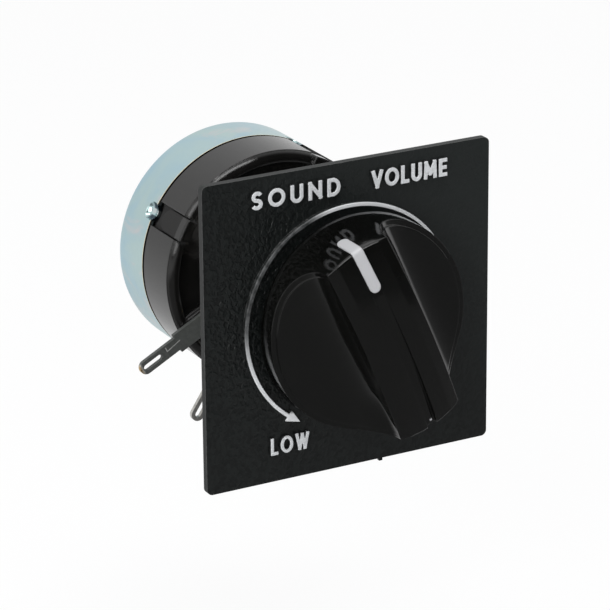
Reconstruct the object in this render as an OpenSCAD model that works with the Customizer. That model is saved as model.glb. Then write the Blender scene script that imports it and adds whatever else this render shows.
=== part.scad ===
// Panel-mount wire-wound L-pad attenuator with a long threaded bushing,
// a square legend plate and a barred knob. Millimetres, +Z up.
// The origin is on the shaft axis, on the seat that beds on the back of a panel.
// -Y is the front, where the knob is. Inside each module the part stands on
// its own axis with z towards the front; along_shaft() lays it down at the end.

/* [Legend plate] */
// Side of the square plate
plate_w = 60.3; // [56:0.1:70]
// Thickness of the plate
plate_t = 1.5; // [1:0.1:2.5]
// Radius of the plate's corners
plate_corner_r = 1.1; // [0.4:0.1:4]
// Distance from the panel seat to the back of the plate
panel_gap = 27; // [16:0.1:30]
// Radial clearance of the plate's hole round the bushing
plate_hole_gap = 0.8; // [0.1:0.1:0.8]
// How far the loose plate has slipped sideways on the bushing
plate_shift_x = -0.7; // [-0.7:0.1:0.7]
// How far it has slipped up
plate_shift_z = -0.3; // [-0.3:0.1:0.3]
// Radius of the centre line of the raised scale arc
arc_r = 21.8; // [21.6:0.1:25]
// Width of the arc rib at its foot
arc_foot_w = 1; // [0.7:0.1:1.6]
// Width of the arc rib at its crest
arc_crest_w = 0.62; // [0.3:0.02:0.68]
// Height of the arc rib above the plate
arc_h = 0.7; // [0.3:0.1:1.2]
// Length of the arrowheads that end the arc
arrow_len = 2.9; // [1.5:0.1:5]
// Width of the arrowheads
arrow_w = 2.3; // [1.8:0.1:3.5]
// Side of the moulding gate's stub under the plate
gate_w = 0.7; // [0.4:0.1:1.4]
// Sideways place of that stub
gate_x = 7; // [-20:1:20]

/* [Bushing and nuts] */
// Outer diameter of the bushing's thread
bushing_d = 9.525; // [8.5:0.005:10]
// How far the bushing stands out of the front nut
bushing_proud = 1; // [0.5:0.1:2]
// Diameter of the flange that holds the bushing behind the front wall
bushing_flange_d = 15; // [13:0.1:16]
// Thickness of that flange
bushing_flange_t = 1.3; // [0.8:0.1:2]
// Chamfer at the bushing's mouth
bushing_chamfer = 0.5; // [0.2:0.1:0.8]
// Thickness of the fibre washer behind the flange
thrust_t = 0.5; // [0.3:0.05:0.8]
// Width of the nuts across their flats
nut_af = 12.7; // [12:0.1:14]
// Thickness of a nut
nut_t = 2.4; // [1.6:0.1:3]
// Outer diameter of the toothed lock washer
lock_washer_d = 14.4; // [13.4:0.1:16]
// Thickness of the lock washer
lock_washer_t = 0.7; // [0.4:0.1:1]
// Width of the lock washer's plain rim
lock_washer_rim = 1.2; // [0.8:0.1:1.6]
// Number of teeth inside the lock washer
lock_teeth = 12; // [8:1:14]

/* [Housing] */
// Outer diameter of the moulded housing
housing_d = 46.1; // [44:0.1:50]
// How far the seat stands in front of the housing's rim
seat_h = 1.6; // [1.4:0.1:3]
// Diameter of the seat
seat_d = 16.5; // [13:0.1:20]
// Width of the housing's raised front rim
rim_w = 2.1; // [2:0.1:2.6]
// Depth of the recess inside the rim
recess_h = 1.2; // [0.6:0.1:2]
// Rounding of the rim's outer edge
rim_round = 1.8; // [0.3:0.1:1.9]
// Thickness of the front wall behind the recess
front_wall = 2.1; // [1.5:0.1:3]
// Thickness of the side wall where it stands inside the metal cover
side_wall = 2.1; // [1.6:0.1:2.4]
// Visible length of the housing's side, from rim to metal cover
housing_l = 11.55; // [10:0.05:16]
// Width of the four notches in the side
notch_w = 5; // [4:0.1:6]
// Depth of the notches
notch_deep = 1.7; // [1.2:0.1:1.8]
// Direction of the first notch, seen from the front
notch_dir = 151.5; // [145:0.5:155]
// Gap between a notch and the key moulded in it, at each side
key_gap = 0.25; // [0.1:0.05:0.5]
// Length of the key from the rim to its round end
key_l = 8.4; // [6:0.1:9]
// How far the key stands proud of the rim's front
key_proud = 0.6; // [0.2:0.1:1]
// Axial width of the moulded stop inside
stop_w = 4.4; // [3:0.1:5]
// How far the stop reaches in over the rotor's lug
stop_reach = 2; // [1.5:0.1:2.4]

/* [Rear cover] */
// Length of the metal cover behind the housing's side
cover_l = 11.3; // [10.6:0.1:14]
// Thickness of the cover's sheet
cover_t = 0.7; // [0.5:0.05:1]
// Rounding of the cover's rear edge
cover_round = 1.6; // [1:0.1:2.5]
// Height of the shallow boss pressed in the cover's back
cover_boss_h = 0.6; // [0.3:0.1:1]
// Diameter of that boss
cover_boss_d = 17; // [12:0.5:24]
// Radius of the crimp dimples that lock the cover in the notches
crimp_r = 2.1; // [1.2:0.1:2.2]
// Distance from the cover's edge to the middle of a dimple
crimp_in = 1.3; // [1:0.1:2]

/* [Terminals] */
// Direction of the middle terminal, seen from the front
terminal_dir = -123.5; // [-125:0.5:-122]
// Angle between neighbouring terminals
terminal_step = 28.5; // [26:0.5:30]
// Radius of the tips of the terminals
terminal_tip_r = 33.8; // [31:0.1:38]
// Width of the wide foot of a terminal
terminal_foot_w = 4.1; // [3.4:0.1:5]
// Width of the soldering end
terminal_end_w = 2.8; // [2.2:0.1:3.2]
// Radius at which the foot narrows to the soldering end
terminal_neck_r = 24.9; // [24:0.1:27]
// Thickness of the terminal's sheet
terminal_t = 0.8; // [0.5:0.1:1]
// Width of the wire slot
slot_w = 1.2; // [0.8:0.1:1.4]
// Length of the wire slot
slot_l = 4.3; // [2:0.1:4.6]
// Metal left between the slot and the tip
slot_margin = 0.8; // [0.6:0.1:1.2]
// Radius of the circle on which the rivets sit
rivet_pitch_r = 16.4; // [15.8:0.1:17]
// Diameter of a rivet's shank
rivet_d = 2; // [1.6:0.1:2.2]
// Diameter of a rivet's heads
rivet_head_d = 3.1; // [2.8:0.1:3.2]
// Thickness of a rivet's heads
rivet_head_t = 0.45; // [0.3:0.05:0.5]
// Thickness of the straps that lead to the windings
strap_t = 0.3; // [0.2:0.05:0.4]
// Width of those straps
strap_w = 0.7; // [0.5:0.1:1]
// Thickness of the collector ring
collector_t = 0.5; // [0.3:0.05:0.6]
// Clearance from the collector ring to the rivets and the bushing's flange
collector_clear = 0.8; // [0.5:0.1:1]

/* [Resistance elements] */
// Axial width of each wound element
element_w = 5.8; // [5:0.1:6]
// Thickness of the insulating strip inside a winding
former_t = 1.1; // [0.8:0.1:1.2]
// Thickness of the wire layer on each side of the strip
wire_t = 0.35; // [0.25:0.05:0.4]
// Distance between the two elements
element_gap = 2.4; // [2.2:0.1:3]
// Angle through which the elements run past each end of the travel
element_over = 3; // [1:0.5:4]
// Height of the ledge that the front element rests against
ledge_h = 1.1; // [1:0.1:1.4]
// How far that ledge reaches in from the cavity's wall
ledge_w = 1; // [0.6:0.1:1.4]
// Angle taken by the foot of a strap on a winding
lead_foot = 2.5; // [1.5:0.5:3]
// Angle between the shunt strap's post and the winding's end
lead_clear = 1.2; // [0.8:0.1:1.5]
// Thickness of the insulating disc in the cover
disc_t = 0.8; // [0.4:0.1:1.2]

/* [Rotor] */
// Turn of the knob from end to end, in degrees
travel = 300; // [280:5:300]
// Direction of the pointer at rest, seen from the front
pointer_dir = 113.6; // [60:0.1:150]
// Diameter of the shaft
shaft_d = 6.35; // [6:0.01:6.4]
// Length of shaft in front of the bushing
shaft_out = 9.6; // [8.5:0.1:10.2]
// Depth of the flat on the shaft
flat_deep = 0.8; // [0.5:0.1:1.2]
// Thickness of the rotor's insulating disc
rotor_t = 1.6; // [1.2:0.1:1.8]
// Gap between the rotor's insulating disc and the stop
rotor_clear = 1.2; // [0.8:0.1:2]
// Half the angle of the stop lug on the rotor
lug_half = 8; // [6:1:10]
// Thickness of the wiper springs
wiper_t = 0.4; // [0.25:0.05:0.5]
// Width of the wiper springs
wiper_w = 4; // [3:0.1:5]
// Radial thickness of a contact shoe
shoe_t = 1.5; // [1:0.1:2]
// Width of a contact shoe
shoe_w = 3; // [2:0.1:3.5]
// Wall of the rotor's hub round the shaft
hub_wall = 2.1; // [1.6:0.1:2.4]
// Step of the hub outside that wall
hub_step = 0.5; // [0.3:0.1:0.8]
// How far the hub's flange stands out of the step
hub_flange_w = 2; // [1.4:0.1:2.2]
// Thickness of the hub's flange
hub_flange_t = 0.9; // [0.6:0.1:1.2]
// Thickness of the washer that closes the stack
clinch_t = 0.8; // [0.5:0.1:1]
// Length of hub left behind that washer to be spread over it
clinch_lip = 0.3; // [0.2:0.05:0.5]
// Width of a collector finger
finger_w = 2.4; // [1.6:0.1:3]
// Half the length of a finger's flat end
finger_pad = 0.7; // [0.4:0.1:0.9]
// Thickness of the ring that keeps the shaft in the bushing
ring_t = 0.7; // [0.5:0.1:0.8]
// Depth of the groove that holds the ring
ring_deep = 0.55; // [0.4:0.05:0.7]

/* [Knob] */
// Diameter of the knob at its foot
knob_d = 41; // [38:0.1:41.2]
// Height of the knob at the ends of its bar
knob_h = 14.5; // [13.4:0.1:17]
// Rise of the domed top from its edge to its middle
knob_crown = 1.9; // [0.8:0.1:2.4]
// Width of the lip round the half-moon floors
lip_w = 0.8; // [0.4:0.1:1.2]
// Drop from a half-moon floor to its lip
lip_drop = 0.35; // [0.1:0.05:0.6]
// Radius over which the rib bends down the knob's side
rib_bend = 1; // [0.6:0.1:1.2]
// Gap between the plate and the knob's foot
knob_gap = 1.8; // [1.4:0.1:3]
// How much the knob's radius shrinks from foot to top
knob_draft = 0.35; // [0:0.05:0.8]
// Rounding of the knob's outer edges
knob_round = 0.6; // [0.3:0.1:1]
// Height of the half-moon floors above the knob's foot
floor_h = 4.8; // [4.2:0.1:6]
// Width of the grip bar at its top
bar_w = 13.4; // [12.4:0.1:15]
// Width of the flat band on top of the bar
bar_flat_w = 8.8; // [6:0.1:10]
// Drop of the bevels at the bar's long edges
bar_bevel = 0.7; // [0.3:0.1:1.2]
// Width of the pointer rib
rib_w = 2.2; // [1.6:0.1:3]
// Height of the pointer rib
rib_h = 0.5; // [0.3:0.1:0.8]
// Length of rib that runs down the knob's side at the pointer end
rib_down = 6; // [3:0.1:8]
// Distance from the knob's axis to the rib's inner end
rib_from = 11.8; // [8:0.1:14]
// Depth, at the knob's middle, of the groove that carries the rib's line on
groove_deep = 0.4; // [0.2:0.05:0.6]
// How far the groove's arc is set towards the pointer, so that its tail is deeper
groove_lean = 3.6; // [2:0.1:4]
// Wall thickness of the knob moulding
knob_wall = 1.8; // [1.2:0.1:2.4]
// Diameter of the hub inside the knob
hub_d = 12.6; // [11:0.1:13]
// Thickness of the leaf spring that grips the shaft's flat
leaf_t = 0.4; // [0.3:0.05:0.5]
// Width of that spring
leaf_w = 3; // [2.4:0.1:4]
// Length of the lip that keeps the spring in the hub
leaf_lip = 1.6; // [1:0.1:2]

/* [Clearances] */
// Radial gap between fixed pieces that fit one in the other
seat_fit = 0.02; // [0.01:0.01:0.05]
// Radial running gap of the shaft in the bushing
run_fit = 0.05; // [0.02:0.01:0.1]
// Gap between pieces that slide past each other
slide_gap = 0.1; // [0.05:0.01:0.2]
// Gap between pieces that never touch
free_gap = 0.4; // [0.3:0.05:0.6]

/* [Hidden] */
$fn = 96;

// a little more than nothing, so that a cut runs clear of the face it opens
over = 1;
full_turn = 360;
quarter_turn = full_turn / 4;
bottom = -90;

// places along the shaft, forward of the seat
plate_back = panel_gap;
plate_front = plate_back + plate_t;
bushing_end = plate_front + nut_t + bushing_proud;
rim_front = -seat_h;
recess_floor = rim_front - recess_h;
wall_inner = recess_floor - front_wall;
cover_front = rim_front - housing_l;
cover_back = cover_front - cover_l;
disc_back = cover_back + cover_t;
disc_front = disc_back + disc_t;

// radii of the housing
bushing_r = bushing_d / 2;
housing_r = housing_d / 2;
skirt_r = housing_r - cover_t - seat_fit;
cavity_r = skirt_r - side_wall;
rim_in_r = housing_r - rim_w;

// the wound elements, from the front backwards
element_t = former_t + 2 * wire_t;
element_r = cavity_r - element_t;
series_front = wall_inner - ledge_h;
series_back = series_front - element_w;
shunt_front = series_back - element_gap;
shunt_back = shunt_front - element_w;
dead = full_turn - travel;
element_from = bottom + dead / 2 - element_over;
element_turn = travel + 2 * element_over;

// the rotor's stack, from the front backwards
shaft_r = shaft_d / 2;
flange_back = wall_inner - bushing_flange_t;
thrust_front = flange_back - slide_gap / 2;
hub_front = thrust_front - thrust_t;
rotor_mid = (series_back + shunt_front) / 2;
rotor_front = rotor_mid + rotor_t / 2;
rotor_back = rotor_front - rotor_t;
hub_flange_back = rotor_front + wiper_t;
hub_flange_front = hub_flange_back + hub_flange_t;
clinch_front = rotor_back - wiper_t;
clinch_back = clinch_front - clinch_t;
hub_back = clinch_back - clinch_lip;
hub_neck_r = shaft_r + hub_wall;
hub_body_r = hub_neck_r + hub_step;
hub_flange_r = hub_body_r + hub_flange_w;
shoe_r = element_r - slide_gap;
stop_gap = 0.5;
stop_half = dead / 2 - lug_half - stop_gap;
lug_r = shoe_r - shoe_t;
rotor_r = lug_r - stop_reach - rotor_clear;

// the collector ring on the front wall and the spring that rubs on it
collector_in_r = bushing_flange_d / 2 + collector_clear;
collector_out_r = rivet_pitch_r - rivet_head_d / 2 - 2 * collector_clear;
collector_back = wall_inner - collector_t;
finger_r = (collector_in_r + collector_out_r) / 2;

// the knob
knob_r = knob_d / 2;
knob_foot = plate_front + knob_gap;
knob_top = knob_foot + knob_h;
floor_top = knob_foot + floor_h;
knob_top_r = knob_r - knob_draft;
bar_half = bar_w / 2;
flute_r = knob_top - bar_bevel - floor_top;
flute_x = bar_half + flute_r;
dome_edge_r = knob_top_r - knob_round;
dome_r = (pow(dome_edge_r, 2) + pow(knob_crown, 2)) / (2 * knob_crown);
dome_z = knob_top + knob_crown - dome_r;
ring_back = bushing_end + free_gap;
ring_front = ring_back + ring_t;
ring_r = shaft_r + hub_wall;
flat_back = ring_front + slide_gap;
hub_foot = flat_back + slide_gap + leaf_t;
shaft_end = bushing_end + shaft_out;
flat_x = shaft_r - flat_deep;

// ---------- helpers ----------

module along_shaft() {
    rotate([90, 0, 0]) children();
}

// a ring or a tube between two places on the shaft
module tube(r_out, r_in, back, front) {
    translate([0, 0, back]) difference() {
        cylinder(r = r_out, h = front - back);
        translate([0, 0, -over]) cylinder(r = r_in, h = front - back + 2 * over);
    }
}

// a sector of a tube, from one angle through a turn
module sector(r_out, r_in, back, front, from, turn) {
    rotate([0, 0, from]) rotate_extrude(angle = turn)
        translate([r_in, back]) square([r_out - r_in, front - back]);
}

// a square with round corners, drawn about the centre
module round_square(side, r) {
    square([side, side - 2 * r], center = true);
    square([side - 2 * r, side], center = true);
    for (x = [-1, 1], y = [-1, 1])
        translate([x, y] * (side / 2 - r)) circle(r = r);
}

// the pieces that turn with the knob are drawn with the pointer along +y
module at_pointer() {
    rotate([0, 0, pointer_dir - 90]) children();
}

// ---------- legend plate ----------

module scale_arrow(side) {
    tip = 90 + side * travel / 2;
    base = tip - side * arrow_len / arc_r * 180 / PI;
    linear_extrude(arc_h) polygon([
        for (p = [[arc_r, tip], [arc_r - arrow_w / 2, base], [arc_r + arrow_w / 2, base]])
            p[0] * [cos(p[1]), sin(p[1])]]);
}

module scale_arc() {
    spread = travel / 2 - arrow_len / arc_r * 180 / PI * 0.8;
    rotate([0, 0, 90 - spread]) rotate_extrude(angle = 2 * spread)
        translate([arc_r, 0]) polygon([
            [-arc_foot_w / 2, -plate_t / 2], [arc_foot_w / 2, -plate_t / 2],
            [arc_foot_w / 2, 0], [arc_crest_w / 2, arc_h],
            [-arc_crest_w / 2, arc_h], [-arc_foot_w / 2, 0]]);
    for (side = [-1, 1]) scale_arrow(side);
}

module faceplate() {
    color("#2b2d2e") along_shaft() translate([plate_shift_x, plate_shift_z, 0]) difference() {
        union() {
            translate([0, 0, plate_back]) linear_extrude(plate_t)
                round_square(plate_w, plate_corner_r);
            translate([0, 0, plate_front]) scale_arc();
            translate([gate_x - gate_w / 2, -plate_w / 2 - gate_w, plate_back + plate_t / 4])
                cube([gate_w, 2 * gate_w, plate_t / 2]);
        }
        translate([0, 0, plate_back - over])
            cylinder(r = bushing_r + plate_hole_gap, h = plate_t + 2 * over);
    }
}

// ---------- bushing, nuts and washer ----------

module hex_nut(back) {
    corner_r = nut_af / 2 / cos(30);
    chamfer = corner_r - nut_af / 2;
    translate([0, 0, back]) difference() {
        intersection() {
            cylinder(r = corner_r, h = nut_t, $fn = 6);
            rotate_extrude() polygon([
                [0, 0], [nut_af / 2, 0], [corner_r + 0.1, chamfer / 2],
                [corner_r + 0.1, nut_t - chamfer / 2], [nut_af / 2, nut_t], [0, nut_t]]);
        }
        translate([0, 0, -over]) cylinder(r = bushing_r + seat_fit, h = nut_t + 2 * over);
    }
}

module front_nut() {
    color("#c9ccce") along_shaft() hex_nut(plate_front);
}

module jam_nut() {
    color("#c9ccce") along_shaft() hex_nut(plate_back - lock_washer_t - nut_t);
}

module lock_washer() {
    tooth_in = bushing_r + 2 * seat_fit;
    rim_in = lock_washer_d / 2 - lock_washer_rim;
    pitch = 360 / lock_teeth;
    color("#b9bdc0") along_shaft()
        translate([0, 0, plate_back - lock_washer_t]) linear_extrude(lock_washer_t) {
            difference() {
                circle(d = lock_washer_d);
                circle(r = rim_in);
            }
            intersection() {
                difference() {
                    circle(r = rim_in + lock_washer_rim / 2);
                    circle(r = tooth_in);
                }
                for (i = [0:lock_teeth - 1]) rotate(i * pitch)
                    polygon([[0, 0], lock_washer_d * [cos(pitch / 4), -sin(pitch / 4)],
                        lock_washer_d * [cos(pitch / 4), sin(pitch / 4)]]);
            }
        }
}

module bushing() {
    bore = shaft_r + run_fit;
    color("#c4a24e") along_shaft() rotate_extrude() polygon([
        [bore, flange_back], [bushing_flange_d / 2, flange_back],
        [bushing_flange_d / 2, wall_inner], [bushing_r, wall_inner],
        [bushing_r, bushing_end - bushing_chamfer],
        [bushing_r - bushing_chamfer, bushing_end], [bore, bushing_end]]);
}

// ---------- housing ----------

// half of the housing's section, without notches or pads
module housing_section() {
    difference() {
        union() {
            translate([0, recess_floor - front_wall])
                square([housing_r, front_wall]);
            translate([0, recess_floor - front_wall]) square([seat_d / 2, front_wall + recess_h + seat_h]);
            translate([rim_in_r, cover_front])
                square([rim_w - rim_round, rim_front - cover_front]);
            translate([rim_in_r, cover_front])
                square([rim_w, rim_front - rim_round - cover_front]);
            intersection() {
                translate([housing_r - rim_round, rim_front - rim_round]) circle(r = rim_round);
                translate([housing_r - rim_round, rim_front - rim_round]) square(rim_round);
            }
            translate([cavity_r, cover_front - over]) square([rim_in_r - cavity_r + over / 2,
                wall_inner - cover_front + over + front_wall / 2]);
            translate([cavity_r, disc_front]) square([skirt_r - cavity_r, cover_front - disc_front]);
        }
        square([2 * (bushing_r + seat_fit), 4 * housing_l], center = true);
    }
}

// the shape of a notch or its key, seen from outside, pointing backwards
module notch_plan(w, l) {
    translate([-w / 2, -l + w / 2]) square([w, l - w / 2 + over]);
    translate([0, -l + w / 2]) circle(r = w / 2);
}

// lays a plan on the housing's side in one direction and makes it deep
module on_side(dir, r_in, r_out) {
    rotate([0, 0, dir - 90]) translate([0, r_out, rim_front]) rotate([90, 0, 0])
        linear_extrude(r_out - r_in) children();
}

module notches() {
    for (i = [0:3]) on_side(notch_dir + quarter_turn * i, housing_r - notch_deep, housing_r + over)
        translate([-notch_w / 2, -housing_l - 2 * crimp_in - crimp_r])
            square([notch_w, housing_l + 2 * crimp_in + crimp_r + over]);
}

// square-ended keys that stand proud of the rim
module keys() {
    key_w = notch_w - 2 * key_gap;
    lug_room = terminal_foot_w + 2 * free_gap;
    difference() {
        intersection() {
            for (i = [0:3]) on_side(notch_dir + quarter_turn * i, rim_in_r - rim_w / 2, housing_r)
                notch_plan(key_w, key_l);
            tube(housing_r - key_gap, rim_in_r - key_gap, cover_front, rim_front + key_proud);
        }
        // a lug that crosses a key lies in a groove of it
        for (i = [-1:1]) terminal_place(i)
            translate([rim_in_r - rim_w, -lug_room / 2, rim_front - slide_gap])
                cube([housing_r - rim_in_r + 2 * rim_w, lug_room, key_proud + slide_gap + over]);
    }
}

module terminal_place(i) {
    rotate([0, 0, terminal_dir + terminal_step * i]) children();
}

module terminal_pads() {
    pad_w = terminal_foot_w + 2 * free_gap;
    for (i = [-1:1]) terminal_place(i)
        translate([rivet_pitch_r - pad_w / 2, -pad_w / 2, recess_floor - front_wall / 2])
            cube([rim_in_r + rim_w / 2 - rivet_pitch_r + pad_w / 2, pad_w, front_wall / 2 + recess_h]);
}

module body_housing() {
    color("#1c1d1e") along_shaft() difference() {
        union() {
            difference() {
                rotate_extrude() housing_section();
                notches();
            }
            keys();
            terminal_pads();
            // ledge that the front element rests against
            sector(cavity_r + side_wall / 2, cavity_r - ledge_w, series_front,
                wall_inner + over / 2, element_from, element_turn);
            // moulded stop for the rotor's lug
            sector(cavity_r + side_wall / 2, lug_r - stop_reach, rotor_mid - stop_w / 2,
                rotor_mid + stop_w / 2, bottom - stop_half, 2 * stop_half);
        }
        for (i = [-1:1]) terminal_place(i) translate([rivet_pitch_r, 0, wall_inner - over]) {
            cylinder(d = rivet_d + 2 * seat_fit, h = front_wall + recess_h + 2 * over);
            // room behind the wall for a rivet's head that reaches the ledge
            translate([0, 0, -ledge_h]) cylinder(d = rivet_head_d + 2 * slide_gap, h = ledge_h + over);
        }
    }
}

// ---------- metal cover ----------

// outline of the drawn cup, to a given skin and edge radius
module cup_section(r_out, back, round) {
    square_top = cover_front - back;
    translate([0, back + round]) square([r_out, square_top - round]);
    translate([0, back]) square([r_out - round, square_top]);
    translate([r_out - round, back + round]) circle(r = round);
}

module crimps(r) {
    for (i = [0:3]) rotate([0, 0, notch_dir + quarter_turn * i])
        translate([housing_r + crimp_r * 0.45, 0, cover_front - crimp_in]) sphere(r = r);
}

module rear_cover() {
    wall_r = housing_r;
    boss_r = cover_boss_d / 2;
    color("#d5dcdf") along_shaft() difference() {
        union() {
            rotate_extrude() difference() {
                cup_section(wall_r, cover_back, cover_round);
                cup_section(wall_r - cover_t, disc_back, cover_round - cover_t);
                translate([0, cover_front - over / 2]) square([wall_r - cover_t, over]);
            }
            // the pressed metal behind each dimple
            intersection() {
                crimps(crimp_r + cover_t);
                translate([0, 0, cover_front - 2 * crimp_in - crimp_r])
                    cylinder(r = wall_r - cover_t / 2, h = 2 * crimp_in + crimp_r);
                tube(wall_r, housing_r - notch_deep + slide_gap,
                    cover_front - 2 * crimp_in - crimp_r, cover_front);
            }
            translate([0, 0, cover_back - cover_boss_h])
                cylinder(r1 = boss_r - cover_boss_h, r2 = boss_r, h = cover_boss_h + cover_t / 2);
        }
        crimps(crimp_r);
        rotate_extrude() polygon([
            [0, disc_back - cover_boss_h], [boss_r - cover_t - cover_boss_h, disc_back - cover_boss_h],
            [boss_r - cover_t, disc_back], [boss_r - cover_t, disc_back + over],
            [0, disc_back + over]]);
    }
}

module insulating_disc() {
    color("#8a6f4a") along_shaft()
        translate([0, 0, disc_back]) cylinder(r = skirt_r - cover_round, h = disc_t);
}

// ---------- resistance elements ----------

module former(back) {
    sector(cavity_r - wire_t - seat_fit, element_r + wire_t, back + wire_t,
        back + element_w - wire_t, element_from, element_turn);
}

module winding(back) {
    rotate([0, 0, element_from]) rotate_extrude(angle = element_turn) difference() {
        translate([element_r, back])
            square([element_t - seat_fit, element_w]);
        translate([element_r + wire_t, back + wire_t])
            square([former_t - seat_fit, element_w - 2 * wire_t]);
    }
}

module series_former() {
    color("#9c7b4f") along_shaft() former(series_back);
}

module series_winding() {
    color("#b7a98c") along_shaft() winding(series_back);
}

module shunt_former() {
    color("#9c7b4f") along_shaft() former(shunt_back);
}

module shunt_winding() {
    color("#b7a98c") along_shaft() winding(shunt_back);
}

module element_spacer() {
    color("#7b5a35") along_shaft() sector(cavity_r - seat_fit, element_r + wire_t,
        shunt_front, series_back, element_from, element_turn);
}

module rear_spacer() {
    color("#7b5a35") along_shaft() sector(cavity_r - seat_fit, element_r + wire_t,
        disc_front, shunt_back, element_from, element_turn);
}

// ---------- terminals ----------

module terminal(i) {
    foot_r = terminal_foot_w / 2;
    end_r = terminal_end_w / 2;
    slot_out = terminal_tip_r - slot_margin - slot_w / 2;
    slot_in = slot_out - slot_l + slot_w;
    along_shaft() terminal_place(i) translate([0, 0, rim_front]) linear_extrude(terminal_t)
        difference() {
            union() {
                translate([rivet_pitch_r, 0]) circle(r = foot_r);
                translate([rivet_pitch_r, -foot_r])
                    square([terminal_neck_r - rivet_pitch_r, terminal_foot_w]);
                translate([terminal_neck_r - over, -end_r])
                    square([terminal_tip_r - end_r - terminal_neck_r + over, terminal_end_w]);
                translate([terminal_tip_r - end_r, 0]) circle(r = end_r);
            }
            translate([rivet_pitch_r, 0]) circle(d = rivet_d + 2 * seat_fit);
            translate([slot_in, -slot_w / 2]) square([slot_out - slot_in, slot_w]);
            for (x = [slot_in, slot_out]) translate([x, 0]) circle(d = slot_w);
        }
}

module input_terminal() {
    color("#b9bab6") terminal(1);
}

module common_terminal() {
    color("#b9bab6") terminal(0);
}

module output_terminal() {
    color("#6d6a5e") terminal(-1);
}

// each rivet grips a terminal in front and a strap or the collector tab behind
module terminal_rivets() {
    front = rim_front + terminal_t;
    color("#c8b06a") along_shaft() for (i = [-1:1]) terminal_place(i)
        translate([rivet_pitch_r, 0, 0]) {
            back = wall_inner - (i == -1 ? collector_t : strap_t);
            translate([0, 0, back - rivet_head_t / 2])
                cylinder(d = rivet_d, h = front - back + rivet_head_t);
            translate([0, 0, front]) cylinder(d = rivet_head_d, h = rivet_head_t);
            translate([0, 0, back - rivet_head_t]) cylinder(d = rivet_head_d, h = rivet_head_t);
        }
}

module collector_ring() {
    color("#d0b25c") along_shaft() translate([0, 0, collector_back]) linear_extrude(collector_t)
        difference() {
            union() {
                circle(r = collector_out_r);
                terminal_place(-1) {
                    translate([rivet_pitch_r, 0]) circle(d = rivet_head_d);
                    translate([finger_r, -rivet_head_d / 2])
                        square([rivet_pitch_r - finger_r, rivet_head_d]);
                }
            }
            circle(r = collector_in_r);
            terminal_place(-1) translate([rivet_pitch_r, 0]) circle(d = rivet_d + 2 * seat_fit);
        }
}

// a piece of a flat ring between two radii
module flat_sector(r_out, r_in, from, turn) {
    rotate(from) intersection() {
        difference() {
            circle(r = r_out);
            circle(r = r_in);
        }
        polygon([[0, 0], 2 * r_out * [1, 0], 2 * r_out * [cos(turn), sin(turn)]]);
    }
}

// flat strap on the front wall: an eye under a rivet, a run along the rivets' circle
// and an arm that reaches out at an angle
module strap(i, to, reach_r) {
    from = terminal_dir + terminal_step * i;
    arm = lead_foot * 0.6;
    translate([0, 0, wall_inner - strap_t]) linear_extrude(strap_t) difference() {
        union() {
            terminal_place(i) translate([rivet_pitch_r, 0]) circle(d = rivet_head_d);
            flat_sector(rivet_pitch_r + strap_w / 2, rivet_pitch_r - strap_w / 2, from, to - from);
            flat_sector(reach_r, rivet_pitch_r, to - arm / 2, arm);
        }
        terminal_place(i) translate([rivet_pitch_r, 0]) circle(d = rivet_d + 2 * seat_fit);
    }
}

// from the input terminal to the front face of the series winding, at the loud end
module series_lead() {
    color("#cfc8b4") along_shaft() {
        strap(1, element_from + lead_foot / 2, element_r + strap_w * 3 / 4);
        sector(element_r + strap_w, element_r, series_front, wall_inner - strap_t / 2,
            element_from, lead_foot);
    }
}

// from the common terminal, past the series winding, to the quiet end of the shunt winding
module shunt_lead() {
    end = element_from + element_turn - full_turn;
    post = end + lead_clear;
    outer = cavity_r - seat_fit;
    tab_front = shunt_front - wire_t;
    tab_back = tab_front - rivet_d;
    color("#cfc8b4") along_shaft() {
        strap(0, post + lead_foot / 2, outer - strap_t / 2);
        sector(outer, outer - strap_t, tab_back + strap_t / 2, wall_inner - strap_t / 2,
            post, lead_foot);
        sector(outer - strap_t / 4, outer - strap_t * 5 / 4, tab_back, tab_front, end,
            lead_clear + lead_foot / 2);
    }
}

// ---------- turning pieces ----------

module shaft() {
    core_r = shaft_r - ring_deep;
    color("#c5c8ca") along_shaft() at_pointer() difference() {
        rotate_extrude() polygon([
            [0, hub_back], [shaft_r, hub_back], [shaft_r, ring_back], [core_r, ring_back],
            [core_r, ring_front], [shaft_r, ring_front], [shaft_r, shaft_end - bushing_chamfer],
            [shaft_r - bushing_chamfer, shaft_end], [0, shaft_end]]);
        translate([flat_x, -shaft_d, flat_back]) cube([shaft_d, 2 * shaft_d, shaft_out]);
    }
}

module retaining_ring() {
    core_r = shaft_r - ring_deep;
    mouth = core_r * 1.6;
    color("#8d9092") along_shaft() at_pointer() translate([0, 0, ring_back])
        linear_extrude(ring_t) difference() {
            circle(r = ring_r);
            circle(r = core_r + seat_fit);
            translate([-mouth / 2, -2 * ring_r]) square([mouth, 2 * ring_r]);
        }
}

module thrust_washer() {
    color("#6f4d2c") along_shaft()
        tube(hub_body_r + hub_step, shaft_r + seat_fit, hub_front, thrust_front);
}

module rotor_hub() {
    bore = shaft_r + seat_fit;
    color("#cdae58") along_shaft() rotate_extrude() polygon([
        [bore, hub_back], [hub_neck_r, hub_back], [hub_neck_r, hub_flange_back],
        [hub_flange_r, hub_flange_back], [hub_flange_r, hub_flange_front],
        [hub_body_r, hub_flange_front], [hub_body_r, hub_front], [bore, hub_front]]);
}

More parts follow.
